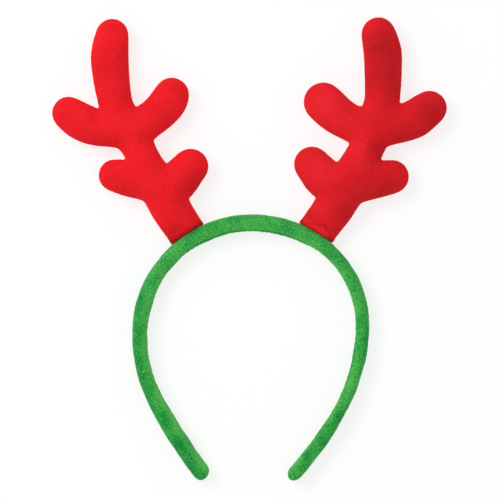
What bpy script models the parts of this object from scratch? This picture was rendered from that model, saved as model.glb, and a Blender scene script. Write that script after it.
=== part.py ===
"""Reindeer antler headband: a padded velvet arch that carries two stuffed velvet antlers.

It lies flat on its back. +X is to the right, +Y runs from the tips of the arch to the
antlers, and +Z is up, away from the surface that it lies on. All sizes are in metres.
"""

import math

import bmesh
import bpy
import numpy as np
from mathutils.geometry import delaunay_2d_cdt

# Headband
BAND_HALF_LENGTH = 0.196  # centreline, from the crown to one tip
BAND_THICKNESS = 0.0093  # strip and padding, as seen from the front
BAND_DEPTH = 0.0115  # front to back
BAND_TILT_DEGREES = 2.1  # how far the crown leans to the right
BAND_SQUARENESS = 2.6  # power of the section's rounded outline, 2 for an ellipse
BAND_TIP_LENGTH = 0.005  # stretch over which a tip rounds off
BAND_PRESSED = 0.0003  # padding pressed flat under the band

# Antlers
ANTLER_HEIGHT = 0.1310  # from the seat to the end of the top tine
ANTLER_SPREAD = 0.0750  # from the inner tines to the outer tines
TINE_WIDTH = 0.0200
LEFT_SEAT_DISTANCE = 0.0397  # along the band, from the crown to the middle of the base
RIGHT_SEAT_DISTANCE = 0.0342
SEAT_GAP = 0.0003  # between an antler's base and the band
BASE_DEPTH = 0.0084  # opening of an antler's base, front to back
STUFFING = 0.65  # thickness of a long stuffed tine, as a share of its width
SEAM_HEIGHT = 0.0078  # of the side seam above the surface, away from the band
SEAM_RISE = 0.0300  # distance over which the seam rises from the band to that height
NOTCH_ROUNDING = 0.0008  # softens the corners where two tines meet

# How finely the surfaces are cut
FINE_STEP = 0.0005  # along the arch's centreline
WALK_STEP = 0.0004  # along an antler's outline while it is traced
STATION_STEPS = 8  # between two stations of a beam or tine
RING_STEP = 0.0050  # between the band's rings
RING_SIDES = 14
PANEL_STEP = 0.0032  # between points of an antler's front and back
RIM_STEP = 0.0009  # from the seam to the first row of points beside it
TURN_STEP_DEGREES = 30  # most that an outline turns between two of its points
LATTICE_CLEARANCE = 0.6  # share of PANEL_STEP kept free between the rim and the inner points
BASE_ROWS = 3  # rows of points from the middle of the base to its front edge
TIP_RINGS = [0.02, 0.15, 0.45]  # rings in a band tip, as shares of BAND_TIP_LENGTH from its end

# The arch is four arcs from the crown to each tip.
# length: share of BAND_HALF_LENGTH. turn: degrees that the arc turns.
ARCS = [
    # left length, left turn, right length, right turn
    (0.171, 29, 0.171, 27),  # crown
    (0.329, 58, 0.329, 63.5),  # shoulder
    (0.248, 34, 0.248, 26.5),  # side
    (0.261, 8.7, 0.252, 14.5),  # leg
]

# How thick the padding is along each leg of the arch.
# along: share of BAND_HALF_LENGTH from the crown. left and right: share of BAND_THICKNESS.
PADDING = [
    # along, left, right
    (0.00, 1.05, 1.05),
    (0.15, 1.04, 1.05),
    (0.30, 0.94, 0.90),
    (0.45, 0.98, 0.87),
    (0.60, 0.91, 0.83),
    (0.70, 0.94, 0.80),
    (0.78, 1.05, 0.82),
    (0.86, 1.09, 0.89),
    (1.00, 1.05, 0.86),
]

# The stations of each antler's beam and tines, from the root to the middle of the round end.
# along: share of ANTLER_HEIGHT away from the band. across: share of ANTLER_SPREAD away from
# the crown. width: share of TINE_WIDTH.
LEFT_BRANCHES = {
    "beam": [
        # along, across, width
        (-0.10, -0.004, 1.085),
        (0.00, -0.004, 1.085),
        (0.17, -0.004, 1.15),
        (0.36, -0.030, 0.945),
        (0.44, -0.042, 0.955),
        (0.54, -0.05, 1.02),
        (0.64, -0.071, 0.985),
        (0.735, -0.134, 1.03),
        (0.83, -0.218, 1.09),
        (0.878, -0.277, 1.045),
        (0.919, -0.338, 0.94),
    ],
    "upper_outer_tine": [
        # along, across, width
        (0.523, -0.041, 0.98),
        (0.616, 0.152, 1.065),
        (0.678, 0.228, 1.075),
        (0.731, 0.269, 0.95),
    ],
    "upper_inner_tine": [
        # along, across, width
        (0.508, -0.07, 1.05),
        (0.517, -0.30, 1.045),
        (0.535, -0.42, 1.075),
        (0.554, -0.478, 1.00),
    ],
    "lower_outer_tine": [
        # along, across, width
        (0.271, 0.017, 1.06),
        (0.339, 0.137, 1.055),
        (0.389, 0.225, 0.93),
    ],
    "lower_inner_tine": [
        # along, across, width
        (0.242, -0.04, 1.00),
        (0.218, -0.15, 1.16),
        (0.236, -0.255, 1.07),
        (0.242, -0.304, 1.03),
    ],
}
RIGHT_BRANCHES = {
    "beam": [
        # along, across, width
        (-0.10, 0.00, 1.10),
        (0.00, -0.001, 1.095),
        (0.17, 0.028, 1.165),
        (0.36, 0.017, 1.03),
        (0.445, 0.019, 0.98),
        (0.53, -0.03, 1.06),
        (0.642, -0.059, 1.02),
        (0.81, -0.216, 1.095),
        (0.861, -0.284, 1.065),
        (0.896, -0.3425, 0.975),
    ],
    "upper_outer_tine": [
        # along, across, width
        (0.50, -0.025, 1.02),
        (0.632, 0.200, 1.105),
        (0.684, 0.250, 1.075),
        (0.724, 0.283, 1.00),
    ],
    "upper_inner_tine": [
        # along, across, width
        (0.498, -0.03, 1.04),
        (0.4945, -0.262, 1.09),
        (0.503, -0.37, 1.145),
        (0.514, -0.451, 1.135),
    ],
    "lower_outer_tine": [
        # along, across, width
        (0.236, 0.020, 1.10),
        (0.331, 0.200, 1.06),
        (0.378, 0.294, 0.975),
    ],
    "lower_inner_tine": [
        # along, across, width
        (0.235, 0.010, 1.10),
        (0.223, -0.145, 1.17),
        (0.2395, -0.233, 1.085),
        (0.2495, -0.289, 1.03),
    ],
}

# Puckers and folds pulled into the stuffed panels by the seams.
# along and across: place, as for the stations. reach: share of TINE_WIDTH. depth: share of
# the thickness there.
LEFT_DENTS = [
    # along, across, reach, depth
    (0.64, 0.05, 0.30, 0.30),
    (0.585, -0.17, 0.25, 0.20),
    (0.43, -0.13, 0.25, 0.20),
    (0.44, 0.07, 0.25, 0.20),
]
RIGHT_DENTS = [
    # along, across, reach, depth
    (0.64, 0.05, 0.25, 0.20),
    (0.44, 0.10, 0.25, 0.20),
    (0.43, -0.12, 0.25, 0.20),
    (0.05, -0.06, 0.35, 0.25),
]


def clear_scene():
    for thing in list(bpy.data.objects):
        bpy.data.objects.remove(thing, do_unlink=True)


def velvet(name, colour):
    material = bpy.data.materials.new(name)
    material.use_nodes = True
    shader = material.node_tree.nodes["Principled BSDF"]
    shader.inputs["Base Color"].default_value = (*colour, 1.0)
    shader.inputs["Roughness"].default_value = 0.85
    shader.inputs["Metallic"].default_value = 0.0
    material.diffuse_color = (*colour, 1.0)
    return material


def add_solid(name, points, faces, material):
    """One smooth solid from its points and faces, with every face pointing out."""
    mesh = bpy.data.meshes.new(name)
    mesh.from_pydata([tuple(point) for point in points], [], faces)
    form = bmesh.new()
    form.from_mesh(mesh)
    bmesh.ops.recalc_face_normals(form, faces=form.faces)
    form.to_mesh(mesh)
    form.free()
    mesh.shade_smooth()
    mesh.materials.append(material)
    solid = bpy.data.objects.new(name, mesh)
    bpy.context.scene.collection.objects.link(solid)
    return solid


class Arch:
    """The band's centreline, seen from the front, from its left tip over the crown to its right tip."""

    def __init__(self):
        left_length, left_turn, right_length, right_turn = np.array(ARCS).T
        left, left_heading = self.half(left_length, left_turn)
        right, right_heading = self.half(right_length, right_turn)
        self.distance = np.concatenate([-left[:0:-1], right])
        tilt = math.radians(BAND_TILT_DEGREES)
        self.heading = np.concatenate([left_heading[:0:-1], -right_heading]) - tilt
        self.crown = len(left) - 1
        self.x = self.sum_up(np.cos(self.heading))
        self.y = self.sum_up(np.sin(self.heading))
        along, left_padding, right_padding = np.array(PADDING).T
        self.padded_at = np.concatenate([-along[:0:-1], along]) * BAND_HALF_LENGTH
        self.padding = np.concatenate([left_padding[:0:-1], right_padding]) * BAND_THICKNESS

    @staticmethod
    def half(lengths, turns):
        """Distances from the crown to one tip, and how far the arch has turned at each."""
        ends = np.cumsum([0.0, *lengths]) * BAND_HALF_LENGTH
        distance = np.linspace(0.0, ends[-1], math.ceil(ends[-1] / FINE_STEP) + 1)
        return distance, np.interp(distance, ends, np.radians(np.cumsum([0.0, *turns])))

    def sum_up(self, slope):
        """Running sum of a slope along the centreline, zero at the crown."""
        pieces = 0.5 * (slope[1:] + slope[:-1]) * np.diff(self.distance)
        total = np.concatenate([[0.0], np.cumsum(pieces)])
        return total - total[self.crown]

    def at(self, distance):
        """Centre, direction to the right, direction outwards, and thickness at a distance."""
        heading = np.interp(distance, self.distance, self.heading)
        centre = np.array([np.interp(distance, self.distance, line) for line in (self.x, self.y)])
        forward = np.array([math.cos(heading), math.sin(heading)])
        outward = np.array([-math.sin(heading), math.cos(heading)])
        return centre, forward, outward, np.interp(distance, self.padded_at, self.padding)

    def outer_edge(self):
        """Points along the outer side of the band."""
        spots = [self.at(distance) for distance in self.distance]
        return np.array([centre + outward * depth / 2 for centre, _, outward, depth in spots])


def band_middle_height():
    return BAND_DEPTH / 2 - BAND_PRESSED


def section_reach(height):
    """Share of its half thickness that the band still has at a height from its middle."""
    inside = 1.0 - (np.abs(height) / (BAND_DEPTH / 2)) ** BAND_SQUARENESS
    return np.maximum(inside, 0.0) ** (1.0 / BAND_SQUARENESS)


def build_headband(arch, material):
    """Rounded rings along the centreline, pressed flat where they rest."""
    left_tip, right_tip = arch.distance[[0, -1]]
    to_tip = np.array(TIP_RINGS) * BAND_TIP_LENGTH
    whole = np.arange(left_tip + BAND_TIP_LENGTH, right_tip - BAND_TIP_LENGTH / 2, RING_STEP)
    distances = np.concatenate([left_tip + to_tip, whole, right_tip - to_tip[::-1]])
    turns = np.arange(RING_SIDES) * 2 * math.pi / RING_SIDES
    power = 2.0 / BAND_SQUARENESS
    across = np.sign(np.cos(turns)) * np.abs(np.cos(turns)) ** power
    upward = np.sign(np.sin(turns)) * np.abs(np.sin(turns)) ** power
    points = []
    for distance in distances:
        left_over = min(distance - left_tip, right_tip - distance) / BAND_TIP_LENGTH
        scale = math.sqrt(1.0 - max(1.0 - left_over, 0.0) ** 2)
        centre, _, outward, thickness = arch.at(distance)
        for sideways, up in zip(across, upward):
            x, y = centre + outward * sideways * scale * thickness / 2
            z = band_middle_height() + up * scale * BAND_DEPTH / 2
            points.append((x, y, max(z, 0.0)))
    faces = []
    last = (len(distances) - 1) * RING_SIDES
    for ring in range(0, last, RING_SIDES):
        for side in range(RING_SIDES):
            a = ring + side
            b = ring + (side + 1) % RING_SIDES
            faces.append((a, b, b + RING_SIDES, a + RING_SIDES))
    faces.append(tuple(range(RING_SIDES)))
    faces.append(tuple(range(last, last + RING_SIDES)))
    return add_solid("headband", points, faces, material)


def smooth_stations(rows):
    """Centres and radii of fine steps along a curve through one branch's stations."""
    along, across, width = np.array(rows).T
    stations = np.column_stack([across * ANTLER_SPREAD, along * ANTLER_HEIGHT, width * TINE_WIDTH / 2])
    before_first = 2 * stations[0] - stations[1]
    after_last = 2 * stations[-1] - stations[-2]
    padded = [before_first, *stations, after_last]
    share = np.linspace(0.0, 1.0, STATION_STEPS, endpoint=False)[:, None]
    fine = []
    for before, start, end, after in zip(padded, padded[1:], padded[2:], padded[3:]):
        leave = (end - before) / 2
        arrive = (after - start) / 2
        bend = 3 * (end - start) - 2 * leave - arrive
        turn = 2 * (start - end) + leave + arrive
        fine.append(start + leave * share + bend * share**2 + turn * share**3)
    return np.vstack([*fine, stations[-1:]])


class Antler:
    """One antler's flat pattern, in a frame with its origin at the seat on the band's outer edge.

    x runs along the band away from the crown, and y runs away from the band.
    """

    def __init__(self, arch, side, seat_distance, branches, dents):
        self.side = side
        centre, forward, self.outward, self.band_thickness = arch.at(side * seat_distance)
        self.sideways = forward * side
        self.seat = centre + self.outward * self.band_thickness / 2
        edge = arch.outer_edge() - self.seat
        near = np.linalg.norm(edge, axis=1) < 2 * TINE_WIDTH
        x, y = edge[near] @ self.sideways, edge[near] @ self.outward
        order = np.argsort(x)
        self.edge_x, self.edge_y = x[order], y[order]
        self.branches = [smooth_stations(rows) for rows in branches.values()]
        self.dents = dents

    def base_line(self, x):
        """How far up the base lies: the band's outer edge and the gap to it."""
        return np.interp(x, self.edge_x, self.edge_y) + SEAT_GAP

    def field(self, points):
        """Distance of each point outside the outline, below zero inside, with rounded notches."""
        total = np.zeros(len(points))
        for branch in self.branches:
            start, run = branch[:-1], np.diff(branch, axis=0)
            offset = points[:, None, :] - start[None, :, :2]
            share = (offset * run[:, :2]).sum(axis=2) / (run[:, :2] ** 2).sum(axis=1)
            share = np.clip(share, 0.0, 1.0)
            gap = np.linalg.norm(offset - share[..., None] * run[:, :2], axis=2)
            outside = (gap - start[:, 2] - share * run[:, 2]).min(axis=1)
            total += np.exp(-np.clip(outside, -TINE_WIDTH, TINE_WIDTH) / NOTCH_ROUNDING)
        return -NOTCH_ROUNDING * np.log(total)

    def field_and_slope(self, spot):
        """The field at one spot and the direction in which it grows."""
        nudge = WALK_STEP / 10
        around = np.array([[0, 0], [nudge, 0], [-nudge, 0], [0, nudge], [0, -nudge]])
        here, right, left, up, down = self.field(spot + around)
        slope = np.array([right - left, up - down]) / (2 * nudge)
        return here, slope / np.linalg.norm(slope)

    def outline(self):
        """Points along the seam, from the base's outer corner round the tines to its inner corner."""
        across = np.arange(0.0, TINE_WIDTH, WALK_STEP)
        on_base = np.column_stack([across, self.base_line(across)])
        corner = int(np.argmax(self.field(on_base) > 0.0))
        spot = on_base[corner]
        path = []
        while len(path) < 2 or spot[1] > self.base_line(spot[0]):
            height, slope = self.field_and_slope(spot)
            spot = spot - height * slope
            path.append(spot)
            spot = spot + WALK_STEP * np.array([-slope[1], slope[0]])
        path = np.array(path)
        run = np.diff(path, axis=0)
        lengths = np.linalg.norm(run, axis=1)
        turned = np.abs(np.diff(np.unwrap(np.arctan2(run[:, 1], run[:, 0]))))
        turn_step = math.radians(TURN_STEP_DEGREES)
        effort = np.cumsum([0.0, *(lengths / PANEL_STEP + np.append(turned, 0.0) / turn_step)])
        picks = np.linspace(0.0, effort[-1], math.ceil(effort[-1]) + 1)
        seam = np.column_stack([np.interp(picks, effort, column) for column in path.T])
        for end in (0, -1):
            seam[end, 1] = self.base_line(seam[end, 0])
        return seam

    def flat_panel(self):
        """Points and triangles of the flat panel, with how many points lie on seam and base."""
        seam = self.outline()
        base_steps = math.ceil((seam[0, 0] - seam[-1, 0]) / PANEL_STEP)
        base_x = np.linspace(seam[-1, 0], seam[0, 0], base_steps + 1)[1:-1]
        base = np.column_stack([base_x, self.base_line(base_x)])
        border = np.vstack([seam, base])
        slopes = np.array([self.field_and_slope(spot)[1] for spot in seam[1:-1]])
        rim = np.vstack([seam[1:-1] - RIM_STEP * slopes, base + [0.0, RIM_STEP]])
        low, high = border.min(axis=0), border.max(axis=0)
        rows = np.arange(low[1], high[1], PANEL_STEP * math.sqrt(3) / 2)
        grid = [
            (x, y)
            for row, y in enumerate(rows)
            for x in np.arange(low[0] + (row % 2) * PANEL_STEP / 2, high[0], PANEL_STEP)
        ]
        grid = np.array(grid)
        clear = RIM_STEP + LATTICE_CLEARANCE * PANEL_STEP
        inside = (self.field(grid) < -clear) & (grid[:, 1] > self.base_line(grid[:, 0]) + clear)
        points = np.vstack([border, rim, grid[inside]])
        loop = [(i, (i + 1) % len(border)) for i in range(len(border))]
        found, _, triangles, origins, _, _ = delaunay_2d_cdt(
            [tuple(point) for point in points], loop, [], 1, WALK_STEP / 100
        )
        names = [origin[0] for origin in origins]
        triangles = np.array([[names[corner] for corner in triangle] for triangle in triangles])
        return points, triangles, len(seam), len(border)

    def half_thickness(self, points, triangles, seam_count, border_count):
        """Thickness of the stuffing from the seam's plane to the front, at each point.

        The panel is blown up as a membrane is. It is held to zero along the seam and to a
        rounded opening along the base.
        """
        base_x = points[seam_count:border_count, 0]
        left, right = points[seam_count - 1, 0], points[0, 0]
        share = (2 * base_x - left - right) / (right - left)
        opening = BASE_DEPTH / 2 * np.sqrt(1.0 - share**2)
        held = np.zeros(border_count)
        held[seam_count:] = (opening / STUFFING) ** 2 / 2
        count = len(points)
        stiffness = np.zeros((count, count))
        load = np.zeros(count)
        corners = points[triangles]
        for k in range(3):
            a, b = triangles[:, (k + 1) % 3], triangles[:, (k + 2) % 3]
            to_a = corners[:, (k + 1) % 3] - corners[:, k]
            to_b = corners[:, (k + 2) % 3] - corners[:, k]
            double_area = np.abs(to_a[:, 0] * to_b[:, 1] - to_a[:, 1] * to_b[:, 0])
            pull = (to_a * to_b).sum(axis=1) / double_area / 2
            np.add.at(stiffness, (a, b), -pull)
            np.add.at(stiffness, (b, a), -pull)
            np.add.at(stiffness, (a, a), pull)
            np.add.at(stiffness, (b, b), pull)
            np.add.at(load, triangles[:, k], double_area / 6)
        blown = np.zeros(count)
        blown[:border_count] = held
        free = slice(border_count, count)
        rest = load[free] - stiffness[free, :border_count] @ held
        blown[free] = np.linalg.solve(stiffness[free, free], rest)
        height = STUFFING * np.sqrt(2 * np.maximum(blown, 0.0))
        for along, across, reach, depth in self.dents:
            away = np.linalg.norm(points - [across * ANTLER_SPREAD, along * ANTLER_HEIGHT], axis=1)
            height[free] *= (1.0 - depth * np.exp(-((away / (reach * TINE_WIDTH)) ** 2)))[free]
        return height

    def seam_height(self, y):
        """Height of the seam above the surface that the headband lies on."""
        share = np.clip(y / SEAM_RISE, 0.0, 1.0)
        smooth = share * share * (3 - 2 * share)
        return band_middle_height() + (SEAM_HEIGHT - band_middle_height()) * smooth

    def drop(self, height):
        """How far the band's rounded side has fallen back at a height from its middle."""
        return self.band_thickness / 2 * (1.0 - section_reach(height))

    def place(self, x, y, z):
        spot = self.seat + x * self.sideways + y * self.outward
        return (*spot, max(z, 0.0))

    def build(self, name, material):
        """Front and back panels that share the seam, closed by a base that fits the band."""
        points, triangles, seam_count, border_count = self.flat_panel()
        height = self.half_thickness(points, triangles, seam_count, border_count)
        middle = self.seam_height(points[:, 1])
        on_base = range(seam_count, border_count)
        solid = [self.place(x, y, z) for (x, y), z in zip(points[:seam_count], middle)]
        panels = {1: list(range(seam_count)), -1: list(range(seam_count))}
        for facing, numbers in panels.items():
            for i in range(seam_count, len(points)):
                x, y = points[i]
                if i in on_base:
                    y -= self.drop(height[i])
                numbers.append(len(solid))
                solid.append(self.place(x, y, middle[i] + facing * height[i]))
        faces = [
            tuple(numbers[i] for i in triangle) for numbers in panels.values() for triangle in triangles
        ]
        rows = [[seam_count - 1] * (2 * BASE_ROWS + 1)]
        for i in on_base:
            row = [panels[1][i]]
            for step in range(BASE_ROWS - 1, -BASE_ROWS, -1):
                up = height[i] * step / BASE_ROWS
                row.append(len(solid))
                solid.append(self.place(points[i, 0], points[i, 1] - self.drop(up), middle[i] + up))
            rows.append([*row, panels[-1][i]])
        rows.append([0] * (2 * BASE_ROWS + 1))
        for row, following in zip(rows, rows[1:]):
            for k in range(2 * BASE_ROWS):
                patch = [row[k], following[k], following[k + 1], row[k + 1]]
                faces.append(tuple(dict.fromkeys(patch)))
        return add_solid(name, solid, faces, material)


def centre_on_floor(solids):
    """Move the whole headband so that its box is centred over the origin and rests on z = 0."""
    corners = np.array([vertex.co for solid in solids for vertex in solid.data.vertices])
    low, high = corners.min(axis=0), corners.max(axis=0)
    for solid in solids:
        solid.location = (-(low[0] + high[0]) / 2, -(low[1] + high[1]) / 2, -low[2])


def main():
    clear_scene()
    green = velvet("green_velvet", (0.035, 0.34, 0.065))
    red = velvet("red_velvet", (0.75, 0.012, 0.02))
    arch = Arch()
    left = Antler(arch, -1, LEFT_SEAT_DISTANCE, LEFT_BRANCHES, LEFT_DENTS)
    right = Antler(arch, 1, RIGHT_SEAT_DISTANCE, RIGHT_BRANCHES, RIGHT_DENTS)
    solids = [
        build_headband(arch, green),
        left.build("antler_left", red),
        right.build("antler_right", red),
    ]
    centre_on_floor(solids)


main()
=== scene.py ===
"""Reindeer antler headband: a padded velvet arch with two stuffed velvet antlers.

It lies flat on its back, in metres. +X is to the right, +Y runs from the tips of the arch
to the antlers, and +Z is up towards the camera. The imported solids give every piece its
place, and the pieces made here dress them.
"""

import math

import bmesh
import bpy
import numpy as np
from bpy.props import FloatProperty, FloatVectorProperty, IntProperty, PointerProperty
from mathutils import Matrix, Vector, noise
from mathutils.bvhtree import BVHTree
from mathutils.kdtree import KDTree


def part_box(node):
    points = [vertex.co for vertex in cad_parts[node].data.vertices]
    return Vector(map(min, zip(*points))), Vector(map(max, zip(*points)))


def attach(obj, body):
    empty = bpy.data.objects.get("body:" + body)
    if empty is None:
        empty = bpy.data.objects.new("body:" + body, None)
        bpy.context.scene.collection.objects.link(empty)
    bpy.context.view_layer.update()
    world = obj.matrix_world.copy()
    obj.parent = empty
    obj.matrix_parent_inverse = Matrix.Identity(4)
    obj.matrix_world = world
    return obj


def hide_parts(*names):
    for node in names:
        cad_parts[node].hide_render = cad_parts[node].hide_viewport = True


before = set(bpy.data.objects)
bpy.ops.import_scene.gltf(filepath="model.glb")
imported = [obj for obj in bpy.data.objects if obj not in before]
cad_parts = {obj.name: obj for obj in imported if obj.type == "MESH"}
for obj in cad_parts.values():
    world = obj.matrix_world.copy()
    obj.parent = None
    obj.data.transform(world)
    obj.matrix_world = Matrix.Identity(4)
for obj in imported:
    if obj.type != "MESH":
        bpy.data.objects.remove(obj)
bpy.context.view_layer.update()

bl_info = {
    "name": "Reindeer Antler Headband",
    "version": (1, 0, 0),
    "blender": (4, 5, 0),
    "location": "3D Viewport > Sidebar > Headband",
    "description": "Builds a padded velvet headband with stuffed velvet antlers and its stage",
    "category": "Add Mesh",
}

# The arch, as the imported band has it. From the crown, each side has four arcs, whose lengths are
# shares of the half length and whose turns are in degrees. The padding is a share of the
# thickness, at places that are shares of the half length.
BAND_HALF_LENGTH = 0.196  # from the crown to one tip
BAND_THICKNESS = 0.0093
BAND_DEPTH = 0.0115  # front to back
BAND_TILT_DEGREES = 2.1
BAND_MIDDLE = 0.00545  # height of the centreline above the floor
BAND_SQUARENESS = 2.6
BAND_TIP_LENGTH = 0.005
ARC_LENGTHS = {"left": (0.171, 0.329, 0.248, 0.261), "right": (0.171, 0.329, 0.248, 0.252)}
ARC_TURNS = {"left": (29, 58, 34, 8.7), "right": (27, 63.5, 26.5, 14.5)}
PADDING_PLACES = (0.00, 0.15, 0.30, 0.45, 0.60, 0.70, 0.78, 0.86, 1.00)
PADDING = {
    "left": (1.05, 1.04, 0.94, 0.98, 0.91, 0.94, 1.05, 1.09, 1.05),
    "right": (1.05, 1.05, 0.90, 0.87, 0.83, 0.80, 0.82, 0.89, 0.86),
}

HEAD_MIDDLE = (0.0034, -0.06, 0.0)  # of the space for the head
FLAT = (1.0, 1.0, 0.0)  # points times this are as they are seen from the front

# How finely the pieces are cut
CENTRELINE_STEP = 0.0005
RING_STEP = 0.0011
RING_SIDES = 36
TIP_RINGS = 7
SEAM_STEP = 0.0004
RIM_POINTS = 7  # on each edge of an antler's base
FLOOR_SIDES = 96
WELD = 1e-6  # points closer than this are one point
RELAXING = (0.5, -0.52)  # how far a mesh's points are drawn in to even them out, and then out

# The band's sleeve
TIP_SKEW = 0.15  # how far out the left tip's end lies, as a share of half the thickness
BAND_LUMPS = (0.011, 0.005)  # sizes of the padding's large and small lumps
GATHER_LENGTH = 0.0031  # from one gather to the next
GATHER_DRIFT = 0.009  # length over which the gathers crowd and thin out
GATHER_PATCHES = 0.020  # length over which they grow deeper and shallower
GATHERED = ((0.0, 0.03, 0.12, 0.16), (1.0, 0.9, 0.5, 0.15))  # distance from the crown, share

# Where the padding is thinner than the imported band: distance from the crown, how far this
# reaches along the band, depth, and the side, 1 inside and -1 outside.
THIN_PADDING = [
    (0.000, 0.130, 0.00028, 1),
    (0.046, 0.016, 0.00055, 1),
    (-0.110, 0.018, 0.00035, 1),
    (0.120, 0.075, 0.00032, -1),
]

# The sleeve's seam runs just under the inner side. It turns up on the lower right leg, into
# sight, and on the left leg: distance from the crown, reach, and by how many degrees.
SEAM_UNDER_DEGREES = 22
SEAM_TURNS = [(0.118, 0.030, 62), (-0.150, 0.035, 40)]

# Seams: width of the groove, then the ridge beside it: its place, width and share of the depth
BAND_SEAM = (0.00050, 0.0013, 0.0007, 0.35)
ANTLER_SEAM = (0.00055, 0.0016, 0.0008, 0.30)

# The pile
PILE_LENGTH = 0.00010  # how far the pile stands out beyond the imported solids' outline
TUFTS = (0.0016, 0.0008)  # sizes of the nap's large and small tufts
PILE_RELIEF = 0.00035  # height of the relief that the velvet's shading gives its tufts
RELIEF_SHARE = 0.55  # how strongly the shading follows it
SHADE_SPREAD = 0.8  # how far the flecks, patches, painted shade and painted highlight move the colour between shades
BAND_PATCHES = 0.016  # size of the places where the pile lies alike
BAND_STREAKS = 0.0045
ANTLER_PATCHES = (0.012, 0.004)
BAND_SEAM_SHADE = 0.00070  # width of the painted shade along a seam's groove
# On an antler: width of the painted shade along its seam and in its tuck's crease
ANTLER_CREASE_SHADE = 0.0006
SEAM_SIDES = 0.0006  # width over which the lie of one panel's pile becomes the other's

# The antlers' fabric is simulated at ten times its size, where the cloth solver's steps suit it.
CLOTH_SCALE = 10.0
CLOTH_SLACK = 0.006  # share by which the fabric is cut larger
CLOTH_STIFFNESS = 6.0  # against bending
HELD_AT_SEAM = 0.0012  # how far from the seam the fabric is held
HELD_AT_BASE = 0.0020  # and how far from the base's rim

# The antlers' outline
OUTLINE_WINDOW = 0.0009  # length of seam over which the outermost point counts
OUTLINE_BESIDE = 0.0035  # points closer to the seam than this make the outline
OUTLINE_REACH = 0.0070  # how far from the seam points are moved with it
WAVE_LENGTH = 0.0042  # waves of the seam that are shorter than this are smoothed out
NOTCH_KEEP = 0.0028  # how far round a notch the seam is left as it is
NOTCH_LEGS = 0.0022  # length of the two legs that a notch's turn is measured by
NOTCH_APART = 0.0050  # two notches are at least this far apart
NOTCH_TURN = 0.30  # sine of the smallest turn that counts as a notch

# The antlers' small forms
SEAM_ENDS = 0.0025  # the seam fades out this close to the base
PUCKER_LENGTH = 0.0043  # from one pucker beside the seam to the next
PUCKER_DRIFT = 0.008  # length over which the puckers crowd and thin out
PUCKERED = (0.0012, 0.0022)  # their distance from the seam, and reach
PUCKER_DEPTH = 0.00005
FOLDED = (0.0022, 0.0026)  # distance of a notch's small folds from it, and reach
FOLDS_ROUND = 9.0  # a notch's folds in each full turn round it
FOLD_DEPTH = 0.00013
SOFT_START = 0.001  # length over which the folds and the tuck come in
SWELL_SIZE = 0.013  # size of the stuffing's lumps
SWELL_HEIGHT = 0.00010

# An antler's base, where it meets the band
BASE_FROM_HEAD = 0.085  # its faces lie within this distance of the middle of the head's space
BASE_FACING = 0.45  # and face that middle at least this squarely, 1 being straight at it
BASE_UPRIGHT = 0.75  # and face up or down less than this
BASE_EDGE = 0.0016  # width of the stretch beside a base's rim that is drawn into a crisp edge
BASE_HOLD = 0.85  # how firmly it is drawn there
BASE_REACH = 0.00018  # how far that edge is drawn towards the band, which stays clear of it
BASE_NEAR = 0.008  # how far from a base's rim the velvet may come near the band
BAND_CLEARANCE = 0.00014  # between an antler's velvet and the band's
CORNER_REACH = 0.0024  # how far from a base's corner the velvet is drawn out to it

# The tuck at the right antler's base, as a line on its front
TUCK = ((0.0344, 0.0147), (0.0393, 0.0141), (0.0440, 0.0136), (0.0450, 0.0103))
TUCK_STEP = 0.0003
TUCK_ABOVE = 0.0075  # height above the floor from which it shows
TUCK_WIDTH = 0.0005
TUCK_DEPTH = 0.00050
ROLL_CREST = 0.0024  # distance of the crest of the roll below it from the base's rim
ROLL_END = 0.0046  # and how far from the rim it reaches
ROLL_END_X = 0.0455
ROLL_WIDTH = 0.0016
ROLL_HEIGHT = 0.00045

# The stage
CAMERA_PLACE = (0.00031, -0.00054)  # it looks down at a spot just beside the origin
SEAM_HEIGHT = 0.0065  # height of the antlers' seams above the floor
KEY_PLACE = (-1.15, 0.85, 1.45)
KEY_SIZE = 1.1
FLOOR_GLOW = 0.755  # the floor is a lit white table, which softens the shadows on it
FLOOR_DROP = 0.0001  # how far the floor lies below the headband

# Where a velvet's deepest, dark, middle and light shades lie, from 0 to 1
SHADE_PLACES = (0.0, 0.2, 0.6, 1.0)

# Painted shade and painted highlight in patches, where the light and the lying pile make the velvet
# darker or lighter: x, y, reach in metres, and how far
BRUSHED_SHADE_AND_HIGHLIGHT = {
    "antler_left": [
        (-0.0857, 0.1047, 0.0090, -0.15),
        (-0.0887, 0.1247, 0.0080, 0.20),
        (-0.0860, 0.0615, 0.0060, -0.35),
        (-0.0577, 0.0347, 0.0100, 0.20),
        (-0.0697, 0.0637, 0.0100, 0.20),
        (-0.0285, 0.0375, 0.0070, -0.50),
        (-0.0455, 0.0095, 0.0050, -0.40),
        (-0.0740, 0.0330, 0.0060, -0.30),
    ],
    "antler_right": [
        (0.0775, 0.1180, 0.0120, -0.65),
        (0.0770, 0.0980, 0.0120, -0.60),
        (0.0690, 0.1300, 0.0050, 0.25),
        (0.1065, 0.0770, 0.0100, -0.65),
        (0.0875, 0.0640, 0.0070, -0.40),
        (0.0745, 0.0575, 0.0060, -0.50),
        (0.0786, 0.0355, 0.0080, -0.45),
        (0.0438, 0.0840, 0.0125, 0.95),
        (0.0600, 0.0620, 0.0110, 0.75),
        (0.0390, 0.0480, 0.0110, 0.70),
        (0.0570, 0.0220, 0.0070, -0.30),
        (0.0423, 0.0237, 0.0070, 0.40),
    ],
}

# Painted shade and painted highlight in patches on the band's legs, with the same columns
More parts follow.
